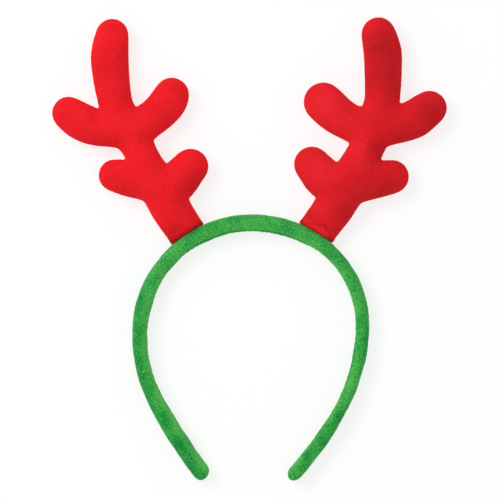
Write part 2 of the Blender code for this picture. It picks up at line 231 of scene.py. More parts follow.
BAND_SHADE_AND_HIGHLIGHT = [
    (0.0653, -0.0527, 0.0040, -0.45),
    (0.0595, -0.0771, 0.0032, 0.40),
    (0.0519, -0.0968, 0.0028, -0.75),
    (0.0421, -0.1107, 0.0030, -0.50),
    (0.0322, -0.1190, 0.0028, -0.70),
    (0.0362, -0.1212, 0.0024, 0.60),
    (0.0276, -0.1322, 0.0028, 0.30),
    (-0.0658, -0.0533, 0.0042, -0.40),
    (-0.0577, -0.0759, 0.0022, 0.45),
    (-0.0565, -0.0817, 0.0036, -0.65),
    (-0.0490, -0.0997, 0.0040, -0.50),
    (-0.0430, -0.1052, 0.0026, 0.35),
    (-0.0415, -0.1125, 0.0040, -0.45),
    (-0.0265, -0.1281, 0.0030, 0.40),
]

# Painted shade where a base meets the band: how dark, and how far up the antler that reaches
BASE_SHADE = {"antler_left": (1.25, 0.0028), "antler_right": (0.90, 0.0020)}

# Places along the band and round it where shade and highlight are painted into the velvet's colour:
# the place and its reach.
# Along it that is the distance from the crown, and round it the angle from its outer side.
CROWN = (-0.010, 0.055)
LEFT_LEG = (-0.125, 0.055)
OUTER_EDGE_HIGHLIGHT = (0.45, 0.30)
OUTER_HALF_SHADE = (0.58 * math.pi, 0.25)
BESIDE_RIM_HIGHLIGHT = (math.pi - 1.02, 0.25)
INNER_STRIP_SHEEN = (0.74 * math.pi, 0.45)
INNER_RIM_SHADE = (math.pi - 0.60, 0.22)

# The shades beside a velvet's own colour, as what its red, green and blue are multiplied by:
# the deepest, the dark and the light
# The deepest and the dark carry painted shade as well as the pile's own darker tone, and the light
# painted highlight as well as its lighter tone.
GREEN_SHADES = ((0.10, 0.44, 0.46), (0.12, 0.62, 0.60), (3.0, 1.36, 1.55))
RED_SHADES = ((0.34, 0.55, 0.60), (0.62, 0.75, 0.70), (1.20, 1.60, 1.60))


# What a user would change


class HeadbandColours(bpy.types.PropertyGroup):
    """Colours of the velvets and the floor."""

    band_green: FloatVectorProperty(
        name="Band green",
        description="Velvet of the arch where its pile lies evenly",
        subtype="COLOR",
        size=3,
        min=0.0,
        max=1.0,
        default=(0.037, 0.375, 0.064),
    )
    # The left antler's red is the lit copy of the antlers' red velvet
    left_red_lit: FloatVectorProperty(
        name="Left red",
        description="Velvet of the left antler, whose pile lies towards the light",
        subtype="COLOR",
        size=3,
        min=0.0,
        max=1.0,
        default=(0.84, 0.0112, 0.0180),
    )
    # Painted shade: the right antler's red is a darker copy of the left's, for the shade and sheen
    # on its pile
    right_red_shaded: FloatVectorProperty(
        name="Right red",
        description="Velvet of the right antler, whose pile lies away from the light",
        subtype="COLOR",
        size=3,
        min=0.0,
        max=1.0,
        default=(0.71, 0.0115, 0.0172),
    )
    floor_white: FloatVectorProperty(
        name="Floor",
        description="Plain pale floor that the headband lies on",
        subtype="COLOR",
        size=3,
        min=0.0,
        max=1.0,
        default=(0.26, 0.26, 0.26),
    )


class HeadbandSizes(bpy.types.PropertyGroup):
    """Sizes of the sewn and brushed details, and of the fabric that is blown up."""

    band_gathers: FloatProperty(
        name="Gathers",
        description="Depth of the small gathers along the inner side of the arch",
        default=0.00016,
        min=0.0,
        max=0.0006,
        precision=5,
        unit="LENGTH",
    )
    band_unevenness: FloatProperty(
        name="Uneven padding",
        description="How far the padding under the sleeve rises and falls",
        default=0.00022,
        min=0.0,
        max=0.0008,
        precision=5,
        unit="LENGTH",
    )
    seam_depth: FloatProperty(
        name="Seam depth",
        description="Depth of the sewn seams between the panels",
        default=0.00045,
        min=0.0,
        max=0.0012,
        precision=5,
        unit="LENGTH",
    )
    stitch_length: FloatProperty(
        name="Stitch length",
        description="Distance between two stitches of a seam",
        default=0.0026,
        min=0.001,
        max=0.006,
        precision=4,
        unit="LENGTH",
    )
    nap_depth: FloatProperty(
        name="Nap depth",
        description="Height of the small tufts that the pile stands in",
        default=0.00007,
        min=0.0,
        max=0.0003,
        precision=5,
        unit="LENGTH",
    )
    panel_step: FloatProperty(
        name="Panel mesh",
        description="Size of the faces that the antlers' fabric is simulated with",
        default=0.0011,
        min=0.0008,
        max=0.0030,
        precision=4,
        unit="LENGTH",
    )
    swell_limit: FloatProperty(
        name="Swelling limit",
        description="Farthest that the stuffing may push the fabric out",
        default=0.0011,
        min=0.0,
        max=0.0030,
        precision=4,
        unit="LENGTH",
    )
    stuffing_pressure: FloatProperty(
        name="Stuffing pressure",
        description="Pressure of the stuffing on the fabric while it is simulated",
        default=4.0,
        min=0.0,
        max=20.0,
    )
    cloth_frames: IntProperty(
        name="Cloth frames",
        description="Frames over which the fabric swells",
        default=20,
        min=1,
        max=60,
    )


class StageSizes(bpy.types.PropertyGroup):
    """Sizes of the stage: the floor, the lights and the camera."""

    floor_radius: FloatProperty(
        name="Floor radius",
        description="Reach of the floor round the headband",
        default=14.0,
        min=1.0,
        max=50.0,
        unit="LENGTH",
    )
    camera_height: FloatProperty(
        name="Camera height",
        description="Height of the camera above the floor",
        default=3.0,
        min=0.5,
        max=10.0,
        unit="LENGTH",
    )
    view_width: FloatProperty(
        name="View width",
        description="Width that the camera takes in, at the height of the seams",
        default=0.290,
        min=0.05,
        max=2.0,
        precision=4,
        unit="LENGTH",
    )
    key_power: FloatProperty(
        name="Key light",
        description="Power of the large soft light at the upper left",
        default=16.0,
        min=0.0,
        max=500.0,
        unit="POWER",
    )
    sky_strength: FloatProperty(
        name="Soft light all round",
        description="Strength of the even white light from everywhere",
        default=0.69,
        min=0.0,
        max=5.0,
    )


# Mesh tools


def points_of(mesh):
    """A mesh's points as an array of rows."""
    flat = np.empty(len(mesh.vertices) * 3, np.float32)
    mesh.vertices.foreach_get("co", flat)
    return flat.reshape(-1, 3).astype(float)


def set_points(mesh, points):
    mesh.vertices.foreach_set("co", np.asarray(points, np.float32).ravel())
    mesh.update()


def normals_of(mesh):
    """The outward direction at every point of a mesh."""
    flat = np.empty(len(mesh.vertices) * 3, np.float32)
    mesh.vertex_normals.foreach_get("vector", flat)
    return flat.reshape(-1, 3).astype(float)


def new_piece(name, mesh):
    mesh.name = name
    piece = bpy.data.objects.new(name, mesh)
    bpy.context.scene.collection.objects.link(piece)
    return piece


def applied(piece):
    """Gives a piece the mesh that its modifiers make, and removes the modifiers."""
    graph = bpy.context.evaluated_depsgraph_get()
    mesh = bpy.data.meshes.new_from_object(piece.evaluated_get(graph))
    old = piece.data
    piece.modifiers.clear()
    piece.data = mesh
    bpy.data.meshes.remove(old)
    mesh.name = piece.name
    return mesh


def subdivided(piece):
    """Rounds a piece off, with four faces for each that it had."""
    rounder = piece.modifiers.new("Rounder", "SUBSURF")
    rounder.levels = rounder.render_levels = 1
    rounder.boundary_smooth = "ALL"
    return applied(piece)


def remeshed(piece, step):
    """Even square faces over the whole piece."""
    even = piece.modifiers.new("Even faces", "REMESH")
    even.mode = "VOXEL"
    even.voxel_size = step
    return applied(piece)


def relaxed(mesh, rounds):
    """Evens out the steps that a remesh leaves. Each round draws the points in and pushes them
    out again, so that the form doesn't shrink."""
    points = points_of(mesh)
    ends = np.empty(len(mesh.edges) * 2, np.int32)
    mesh.edges.foreach_get("vertices", ends)
    a, b = ends.reshape(-1, 2).T
    count = np.bincount(a, minlength=len(points)) + np.bincount(b, minlength=len(points))
    for turn in range(2 * rounds):
        pull = np.empty_like(points)
        for axis in range(3):
            column = points[:, axis]
            total = np.bincount(a, column[b], len(points))
            total += np.bincount(b, column[a], len(points))
            pull[:, axis] = total / count - column
        points += pull * RELAXING[turn % 2]
    set_points(mesh, points)


def swell(piece, held, pressure, frames):
    """Blows a piece up as stuffed cloth, held where held is 1, and returns its new points."""
    scene = bpy.context.scene
    start = points_of(piece.data)
    piece.data.transform(Matrix.Scale(CLOTH_SCALE, 4))
    pins = piece.vertex_groups.new(name="Sewn")
    for index in np.flatnonzero(held > 0.01):
        pins.add([int(index)], float(held[index]), "REPLACE")
    cloth = piece.modifiers.new("Stuffed", "CLOTH")
    fabric = cloth.settings
    fabric.quality = 5
    fabric.mass = 0.3
    fabric.air_damping = 1.0
    fabric.tension_stiffness = 15.0
    fabric.compression_stiffness = 15.0
    fabric.shear_stiffness = 5.0
    fabric.bending_stiffness = CLOTH_STIFFNESS
    fabric.use_pressure = True
    fabric.uniform_pressure_force = pressure
    fabric.shrink_min = -CLOTH_SLACK
    fabric.vertex_group_mass = pins.name
    fabric.pin_stiffness = 1.0
    fabric.effector_weights.gravity = 0.0
    scene.frame_start, scene.frame_end = 1, frames
    for moment in range(1, frames + 1):
        scene.frame_set(moment)
    swollen = points_of(applied(piece)) / CLOTH_SCALE
    scene.frame_set(1)
    piece.vertex_groups.clear()
    set_points(piece.data, start)
    return swollen


def capped(start, moved, limit):
    """Moves from start towards moved, easing off so that no point moves past the limit."""
    step = moved - start
    length = np.linalg.norm(step, axis=1, keepdims=True)
    return start + step * limit * np.tanh(length / limit) / np.maximum(length, 1e-9)


def nearest(points, targets):
    """For each point, which target is nearest and how far away it is."""
    tree = KDTree(len(targets))
    for index, target in enumerate(targets):
        tree.insert(target, index)
    tree.balance()
    found = [tree.find(point) for point in points]
    return np.array([index for _, index, _ in found]), np.array([gap for _, _, gap in found])


def noise_at(points, size, seed):
    """Smooth noise from about -1 to 1, whose blotches are about size across."""
    shift = Vector((seed * 7.31, seed * 3.77, seed * 5.13))
    return np.array([noise.noise(Vector(point) / size + shift) for point in points]) * 1.6


def bump_of(distance, reach):
    """1 on a line or spot, fading smoothly to 0 beyond its reach."""
    return np.exp(-((distance / reach) ** 2))


def grooved(gap, seam, stitched):
    """The shape of a seam: a stitched groove with a low ridge beside it."""
    width, ridge, ridge_width, height = seam
    return bump_of(gap, width) * stitched - height * bump_of(gap - ridge, ridge_width)


def near(values, place):
    """1 at a place, which is given with its reach, fading smoothly to 0 beyond that reach."""
    return bump_of(values - place[0], place[1])


def nap_of(points, seed):
    """The nap's tufts, large and small."""
    large, small = TUFTS
    return noise_at(points, large, seed) + 0.6 * noise_at(points, small, seed + 1)


def with_painted_patches(tone_and_shade, points, places):
    """The stored value with patches of painted shade and painted highlight added."""
    for x, y, reach, amount in places:
        tone_and_shade = tone_and_shade + amount * bump_of(np.hypot(points[:, 0] - x, points[:, 1] - y), reach)
    return tone_and_shade


def store(mesh, name, values):
    """Keeps a value for each point, which a material can read."""
    layer = mesh.attributes.new(name, "FLOAT", "POINT")
    layer.data.foreach_set("value", np.asarray(values, np.float32))


# Materials


def velvet(name, shades, fleck_size, patch_size, contrast, tuft_contrast, sheen, sheen_tint):
    """Short-pile velvet in four shades: flecked where its tufts part, mottled in patches,
    with a soft sheen. A value stored at each point darkens it below 0 and lightens it above 0:
    the pile's own uneven tone, with painted shade and painted highlight."""
    material = bpy.data.materials.new(name)
    material.use_nodes = True
    tree = material.node_tree
    shader = tree.nodes["Principled BSDF"]
    link = tree.links.new

    def node(kind, **values):
        made = tree.nodes.new(kind)
        for key, value in values.items():
            setattr(made, key, value)
        return made

    def math_node(operation, first, second):
        made = node("ShaderNodeMath", operation=operation)
        for socket, value in zip(made.inputs, (first, second)):
            if isinstance(value, (int, float)):
                socket.default_value = value
            else:
                link(value, socket)
        return made.outputs["Value"]

    def noise_node(size, detail, roughness):
        made = node("ShaderNodeTexNoise")
        made.inputs["Scale"].default_value = 1.0 / size
        made.inputs["Detail"].default_value = detail
        made.inputs["Roughness"].default_value = roughness
        link(place.outputs["Object"], made.inputs["Vector"])
        return made.outputs["Fac"]

    def centred(value, amount):
        return math_node("MULTIPLY", math_node("SUBTRACT", value, 0.5), amount)

    place = node("ShaderNodeTexCoord")
    flecks = noise_node(fleck_size, 3.0, 0.6)
    patches = noise_node(patch_size, 2.0, 0.5)
    tufts = noise_node(fleck_size / 2, 2.0, 0.6)
    tone_and_shade = node("ShaderNodeAttribute", attribute_name="pile_tone_and_painted_shade", attribute_type="GEOMETRY")

    # All four are added up round the middle shade, and the sum picks the colour.
    flecked = centred(flecks, 1.5 * contrast)
    mottled = centred(patches, 0.5 * contrast)
    tufted = centred(tufts, tuft_contrast)
    # The stored value: the pile's uneven tone, with painted shade and painted highlight
    halved_tone_and_shade = math_node("MULTIPLY", tone_and_shade.outputs["Fac"], 0.5)
    total = math_node("ADD", math_node("ADD", flecked, mottled), math_node("ADD", tufted, halved_tone_and_shade))
    ramp = node("ShaderNodeValToRGB")
    moved = math_node("MULTIPLY", total, SHADE_SPREAD)
    link(math_node("ADD", moved, SHADE_PLACES[2]), ramp.inputs["Fac"])
    stops = ramp.color_ramp.elements
    for spot in SHADE_PLACES[1:3]:
        stops.new(spot)
    for stop, spot, shade in zip(stops, SHADE_PLACES, shades):
        stop.position = spot
        stop.color = (*shade, 1.0)
    link(ramp.outputs["Color"], shader.inputs["Base Color"])

    high_flecks = math_node("MULTIPLY", flecks, 0.6)
    height = math_node("ADD", high_flecks, math_node("MULTIPLY", tufts, 0.4))
    raised = node("ShaderNodeBump")
    raised.inputs["Strength"].default_value = RELIEF_SHARE
    raised.inputs["Distance"].default_value = PILE_RELIEF
    link(height, raised.inputs["Height"])
    link(raised.outputs["Normal"], shader.inputs["Normal"])
    rough = math_node("ADD", math_node("MULTIPLY", flecks, 0.12), 0.82)
    link(rough, shader.inputs["Roughness"])

    shader.inputs["Metallic"].default_value = 0.0
    shader.inputs["Specular IOR Level"].default_value = 0.10
    shader.inputs["Sheen Weight"].default_value = sheen
    shader.inputs["Sheen Roughness"].default_value = 0.35
    shader.inputs["Sheen Tint"].default_value = (*sheen_tint, 1.0)
    return material


def shades_of(colour, deep, dark, light):
    """The deepest, the dark, the middle and the light shade of a velvet. deep, dark and light are
    what each of the colour's three parts is multiplied by."""
    colour = np.array(colour)
    even = (1.0, 1.0, 1.0)
    return [tuple(np.minimum(colour * share, 1.0)) for share in (deep, dark, even, light)]


def pale_floor(name, colour):
    material = bpy.data.materials.new(name)
    material.use_nodes = True
    shader = material.node_tree.nodes["Principled BSDF"]
    shader.inputs["Base Color"].default_value = (*colour, 1.0)
    shader.inputs["Roughness"].default_value = 0.9
    shader.inputs["Specular IOR Level"].default_value = 0.1
    shader.inputs["Emission Color"].default_value = (1.0, 1.0, 1.0, 1.0)
    shader.inputs["Emission Strength"].default_value = FLOOR_GLOW
    return material


# The arch


class Arch:
    """The band's centreline, from its left tip over the crown to its right tip."""

    def __init__(self):
        left, left_heading = self.half("left")
        right, right_heading = self.half("right")
        self.distance = np.concatenate([-left[:0:-1], right])
        tilt = math.radians(BAND_TILT_DEGREES)
        self.heading = np.concatenate([left_heading[:0:-1], -right_heading]) - tilt
        crown = len(left) - 1
        step = np.diff(self.distance)
        lines = []
        for slope in (np.cos(self.heading), np.sin(self.heading)):
            total = np.concatenate([[0.0], np.cumsum(0.5 * (slope[1:] + slope[:-1]) * step)])
            lines.append(total - total[crown])
        centre = np.column_stack(lines)
        places = np.array(PADDING_PLACES) * BAND_HALF_LENGTH
        self.thickness = BAND_THICKNESS * np.interp(
            self.distance,
            np.concatenate([-places[:0:-1], places]),
            [*PADDING["left"][:0:-1], *PADDING["right"]],
        )
        self.outward = np.column_stack([-np.sin(self.heading), np.cos(self.heading)])
        self.centre = centre + self.place_of_band(centre)

    @staticmethod
    def half(side):
        ends = np.cumsum([0.0, *ARC_LENGTHS[side]]) * BAND_HALF_LENGTH
        turned = np.radians(np.cumsum([0.0, *ARC_TURNS[side]]))
        distance = np.linspace(0.0, ends[-1], math.ceil(ends[-1] / CENTRELINE_STEP) + 1)
        return distance, np.interp(distance, ends, turned)

    def place_of_band(self, centre):
        """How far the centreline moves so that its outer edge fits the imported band's box."""
        low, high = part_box("headband")
        reach = self.outward * self.thickness[:, None] / 2
        both = np.vstack([centre + reach, centre - reach])
        x = (low.x + high.x) / 2 - (both[:, 0].min() + both[:, 0].max()) / 2
        y = high.y - both[:, 1].max()
        return np.array([x, y])

    def at(self, distance):
        """Centre, direction outwards, and thickness at a distance from the crown."""
        lines = np.column_stack([self.centre, self.outward, self.thickness]).T
        x, y, out_x, out_y, thickness = (np.interp(distance, self.distance, line) for line in lines)
        return np.array([x, y]), np.array([out_x, out_y]), thickness

    def round_it(self, points):
        """For each point: distance along the arch, and angle round the band, which is 0 on the
        outer side, a right angle on the front, and pi inside."""
        line = np.column_stack([self.centre, np.zeros(len(self.centre))])
        found, _ = nearest(points * FLAT, line)
        offset = ((points[:, :2] - self.centre[found]) * self.outward[found]).sum(axis=1)
        return self.distance[found], np.arctan2(points[:, 2] - BAND_MIDDLE, offset)


def band_sleeve(arch):
    """Rings of points round the centreline, closed by a rounded tip at each end."""
    left_tip, right_tip = arch.distance[[0, -1]]
    rounding = 1.0 - np.cos(np.linspace(0.0, math.pi / 2, TIP_RINGS + 1)[1:])
    steps = math.ceil((right_tip - left_tip - 2 * BAND_TIP_LENGTH) / RING_STEP)
    whole = np.linspace(left_tip + BAND_TIP_LENGTH, right_tip - BAND_TIP_LENGTH, steps + 1)
    to_tip = rounding * BAND_TIP_LENGTH
    distances = [*(left_tip + to_tip[:-1]), *whole, *(right_tip - to_tip[-2::-1])]
    turns = np.arange(RING_SIDES) * 2 * math.pi / RING_SIDES
    power = 2.0 / BAND_SQUARENESS
    waves = (np.cos(turns), np.sin(turns))
    across, upward = (np.sign(wave) * np.abs(wave) ** power for wave in waves)
    points, faces = [], []
    for distance in distances:
        from_left, from_right = distance - left_tip, right_tip - distance
        left_over = min(from_left, from_right) / BAND_TIP_LENGTH
        scale = math.sqrt(max(1.0 - max(1.0 - left_over, 0.0) ** 2, 0.0))
        centre, outward, thickness = arch.at(distance)
        if from_left < BAND_TIP_LENGTH:  # the left tip rounds off on its inner side
            centre = centre + outward * TIP_SKEW * (1.0 - scale) * thickness / 2
        for sideways, up in zip(across, upward):
            x, y = centre + outward * sideways * scale * thickness / 2
            points.append((x, y, BAND_MIDDLE + up * scale * BAND_DEPTH / 2))
    rings = len(distances)

    def sides_of(ring):
        first = ring * RING_SIDES
        return [(first + side, first + (side + 1) % RING_SIDES) for side in range(RING_SIDES)]

    for ring in range(rings - 1):
        faces += [(a, b, b + RING_SIDES, a + RING_SIDES) for a, b in sides_of(ring)]
    for ring, distance, turn in ((0, left_tip, 1), (rings - 1, right_tip, -1)):
        centre, outward, thickness = arch.at(distance)
        if ring == 0:
            centre = centre + outward * TIP_SKEW * thickness / 2
        middle = len(points)
        points.append((centre[0], centre[1], BAND_MIDDLE))
        faces += [(middle, b, a)[::turn] for a, b in sides_of(ring)]
    mesh = bpy.data.meshes.new("headband_sleeve")
    mesh.from_pydata(points, [], faces)
    form = bmesh.new()
    form.from_mesh(mesh)
    bmesh.ops.recalc_face_normals(form, faces=form.faces)
    form.to_mesh(mesh)
    form.free()
    return mesh


def seam_angle(distance):
    """Where the sleeve's seam runs round the band, as an angle from its outer side."""
    degrees = 180.0 + SEAM_UNDER_DEGREES
    for place, reach, turn in SEAM_TURNS:
        degrees = degrees - turn * bump_of(distance - place, reach)
    return np.radians(degrees)


def dress_band(piece, arch, sizes):
    """Gives the sleeve its gathers, uneven padding, seam and nap, and stores the pile's uneven tone
    with painted shade and painted highlight.
    """
    mesh = piece.data
    points = points_of(mesh)
    outward = normals_of(mesh)
    distance, angle = arch.round_it(points)
    angle = np.mod(angle, 2 * math.pi)
    inside = 0.5 - 0.5 * np.cos(angle)  # 0 on the outer side, 1 on the inner side
    left_tip, right_tip = arch.distance[[0, -1]]
    from_tip = np.minimum(distance - left_tip, right_tip - distance)
    body = np.clip(from_tip / (2 * BAND_TIP_LENGTH), 0.0, 1.0)
    unrolled = np.column_stack([distance, angle * BAND_DEPTH / 2, np.zeros(len(points))])

    large, small = BAND_LUMPS
    padding = noise_at(unrolled, large, 1) + 0.5 * noise_at(unrolled, small, 2)
    drift = 0.6 * noise_at(unrolled, GATHER_DRIFT, 3)
    ripple = np.sin(2 * math.pi * (distance / GATHER_LENGTH + drift))
    bent = np.interp(np.abs(distance), *GATHERED)
    gathers = ripple * inside**4 * bent * (0.6 + 0.4 * noise_at(unrolled, GATHER_PATCHES, 4))
    arc = (angle - seam_angle(distance)) * BAND_THICKNESS / 2
    stitched = 0.8 + 0.2 * np.cos(2 * math.pi * distance / sizes.stitch_length)
    seam = grooved(np.abs(arc), BAND_SEAM, stitched)
    nap = nap_of(points, 5)
    thin = np.zeros(len(points))
    for place, reach, depth, side in THIN_PADDING:
        thin += depth * bump_of(distance - place, reach) * np.maximum(-side * np.cos(angle), 0.0)
    raised = (
        PILE_LENGTH
        - thin
        + sizes.band_unevenness * padding * body
        + sizes.band_gathers * gathers * body
        - sizes.seam_depth * seam * body
        + 1.4 * sizes.nap_depth * nap
    )
    points += outward * raised[:, None]
    points[:, 2] = np.maximum(points[:, 2], 0.0)
    set_points(mesh, points)

    streaks = noise_at(unrolled * (0.4, 1.0, 1.0), BAND_STREAKS, 7)
    past_seam = np.clip(-arc / SEAM_SIDES, -1.0, 1.0)
    crown = near(distance, CROWN)
    left_leg = near(distance, LEFT_LEG)
    outer_half = 0.5 - 0.5 * np.tanh((angle - OUTER_HALF_SHADE[0]) / OUTER_HALF_SHADE[1])
    tone_and_shade = (
        # painted shade on the outer side and painted sheen on the inner side
        -0.30 * np.cos(angle) * (1.0 - crown)
        # painted highlight along the crown's outer edge
        + 0.20 * crown * near(angle, OUTER_EDGE_HIGHLIGHT)
        # painted highlight beside the crown's inner rim
        + 0.40 * crown * near(angle, BESIDE_RIM_HIGHLIGHT)
        # painted shade along the crown's inner rim
        - 1.20 * crown * near(angle, INNER_RIM_SHADE)
        # painted shade on the left leg's outer half
        - 0.35 * left_leg * outer_half
        # painted sheen along the left leg's inner strip
        + 0.60 * left_leg * near(angle, INNER_STRIP_SHEEN)
        + 0.24 * noise_at(unrolled, BAND_PATCHES, 8)
        + 0.34 * streaks
        # painted shade along the seam's groove
        - 1.00 * bump_of(arc, BAND_SEAM_SHADE)
        + 0.10 * past_seam * inside
    )
    # patches of painted shade and painted highlight
    tone_and_shade = with_painted_patches(tone_and_shade, points, BAND_SHADE_AND_HIGHLIGHT)
    store(mesh, "pile_tone_and_painted_shade", tone_and_shade)


# The antlers


def seam_of(mesh):
    """The antler's side seam, as points in order from one corner of its base to the other, and
    the points of its base's rim."""
    form = bmesh.new()
    form.from_mesh(mesh)
    bmesh.ops.remove_doubles(form, verts=form.verts, dist=WELD)
    form.normal_update()
    band_side = Vector(HEAD_MIDDLE)
    cap = set()
    for face in form.faces:
        towards = band_side - face.calc_center_median()
        towards.z = 0.0
        facing = face.normal.dot(towards.normalized())
        if abs(face.normal.z) < BASE_UPRIGHT and facing > BASE_FACING:
            if towards.length < BASE_FROM_HEAD:
                cap.add(face)
    rim, chain = [], {}
    for edge in form.edges:
        first, second = edge.link_faces
        if (first in cap) != (second in cap):
            start, end = (np.array(vert.co) for vert in edge.verts)
            rim += [start + (end - start) * share for share in np.linspace(0.0, 1.0, RIM_POINTS)]
        elif first not in cap and first.normal.z * second.normal.z < 0:
            a, b = edge.verts
            chain.setdefault(a.index, []).append(b.index)
            chain.setdefault(b.index, []).append(a.index)
    form.verts.ensure_lookup_table()
    start = next(index for index, others in chain.items() if len(others) == 1)
    order, before = [start], None
    while True:
        ahead = [index for index in chain[order[-1]] if index != before]
        if not ahead or ahead[0] == start:
            break
        before = order[-1]
        order.append(ahead[0])
    line = np.array([form.verts[index].co for index in order])
    form.free()
    return line, np.array(rim)


def lengths_to(line):
    """The distance along a line at each of its points."""
    steps = np.linalg.norm(np.diff(line, axis=0), axis=1)
    return np.concatenate([[0.0], np.cumsum(steps)])


def averaging(apart, reach):
    """The shares by which each point is averaged with the others, from how far apart they are."""
    shares = bump_of(apart, reach)
    return shares / shares.sum(axis=1, keepdims=True)


def finely(line, step):
    """Points at even steps along a line, with the distance along it at each."""
    ends = lengths_to(line)
    along = np.linspace(0.0, ends[-1], math.ceil(ends[-1] / step) + 1)
    return np.column_stack([np.interp(along, ends, column) for column in line.T]), along


def rounded(line, step):
    """Points at about even steps along the smooth curve through a line's points, with the
    distance along it at each."""
    padded = np.vstack([2 * line[0] - line[1], line, 2 * line[-1] - line[-2]])
    curve = []
    for before, start, end, after in zip(padded, padded[1:], padded[2:], padded[3:]):
        gaps = (start - before, end - start, after - end)
        came, run, goes = (np.linalg.norm(gap) for gap in gaps)
        leave = (gaps[0] / came * run + gaps[1] / run * came) / (came + run) * run
        arrive = (gaps[1] / run * goes + gaps[2] / goes * run) / (goes + run) * run
        share = np.linspace(0.0, 1.0, max(2, math.ceil(run / step)), endpoint=False)[:, None]
        bend = 3 * (end - start) - 2 * leave - arrive
        turn = 2 * (start - end) + leave + arrive
        curve.append(start + leave * share + bend * share**2 + turn * share**3)
    curve = np.vstack([*curve, line[-1:]])
    return curve, lengths_to(curve)


def eased(line, along, spots):
    """Smooths small waves out of the seam, without drawing its tips in, and keeps its notches."""
    spread = averaging(along[:, None] - along[None, :], WAVE_LENGTH)
    once = spread @ line
    smooth = 2 * once - spread @ once
    share = np.clip(np.minimum(along, along[-1] - along) / NOTCH_KEEP, 0.0, 1.0)
    for spot, _ in spots:
        share *= 1.0 - bump_of(np.linalg.norm(line[:, :2] - spot, axis=1), NOTCH_KEEP)
    return line + (smooth - line) * share[:, None]


def fit_outline(points, seam, along):
    """Moves the points beside the seam sideways until the piece's outline, seen from the front,
    runs a pile's length outside the seam, smoothly and with its small tufts left in it."""
    run = np.gradient(seam[:, :2], along, axis=0)
    run /= np.linalg.norm(run, axis=1, keepdims=True)
    area = np.sum(seam[:-1, 0] * seam[1:, 1] - seam[1:, 0] * seam[:-1, 1])
    out = np.column_stack([run[:, 1], -run[:, 0]]) * np.sign(area)
    apart = np.abs(along[:, None] - along[None, :])
    spread = averaging(apart, OUTLINE_WINDOW)
    for _ in range(3):
        index, gap = nearest(points * FLAT, seam * FLAT)
        offset = ((points[:, :2] - seam[index, :2]) * out[index]).sum(axis=1)
        close = gap < OUTLINE_BESIDE
        reached = np.full(len(seam), -OUTLINE_BESIDE)
        np.maximum.at(reached, index[close], offset[close])
        furthest = np.where(apart < OUTLINE_WINDOW, reached, -OUTLINE_BESIDE).max(axis=1)
        furthest[furthest <= -OUTLINE_BESIDE] = 0.0  # no point is beside the seam there
        push = PILE_LENGTH - spread @ furthest
        share = np.clip(1.0 - gap / OUTLINE_REACH, 0.0, 1.0)
        ease = share * share * (3 - 2 * share)
        points[:, :2] += out[index] * (push[index] * ease)[:, None]
    return points


def kept_clear(points, beside, band):
    """Moves the points that are in or on the band's velvet out until they are clear of it."""
    surface = BVHTree.FromPolygons(
        [point.co for point in band.data.vertices],
        [face.vertices for face in band.data.polygons],
    )
    for index in np.flatnonzero(beside):
        for _ in range(3):
            spot, normal, _, _ = surface.find_nearest(points[index])
            depth = BAND_CLEARANCE - (Vector(points[index]) - spot).dot(normal)
            if depth <= 0.0:
                break
            points[index] += np.array(normal) * depth
    return points


def notches_of(line, along):
    """Places on the seam where two tines meet, and the direction that each notch points in."""
    spots = []
    turns = np.zeros(len(line))
    directions = np.zeros((len(line), 2))
    for index, distance in enumerate(along):
        if not NOTCH_LEGS < distance < along[-1] - NOTCH_LEGS:
            continue
        legs = distance + np.array([-NOTCH_LEGS, NOTCH_LEGS])
        before, after = np.column_stack([np.interp(legs, along, line[:, axis]) for axis in (0, 1)])
        arrive = line[index, :2] - before
        leave = after - line[index, :2]
        turns[index] = arrive[0] * leave[1] - arrive[1] * leave[0]
        turns[index] /= np.linalg.norm(arrive) * np.linalg.norm(leave)
        out = (before + after) / 2 - line[index, :2]
        directions[index] = -out / max(np.linalg.norm(out), 1e-9)
    main = -np.sign(np.median(turns[np.abs(turns) > 0.05]))
    hollow = turns * main
    for index in range(len(line)):
        close = np.abs(along - along[index]) < NOTCH_APART
        if hollow[index] > NOTCH_TURN and hollow[index] == hollow[close].max():
            spots.append((line[index, :2], directions[index]))
    return spots


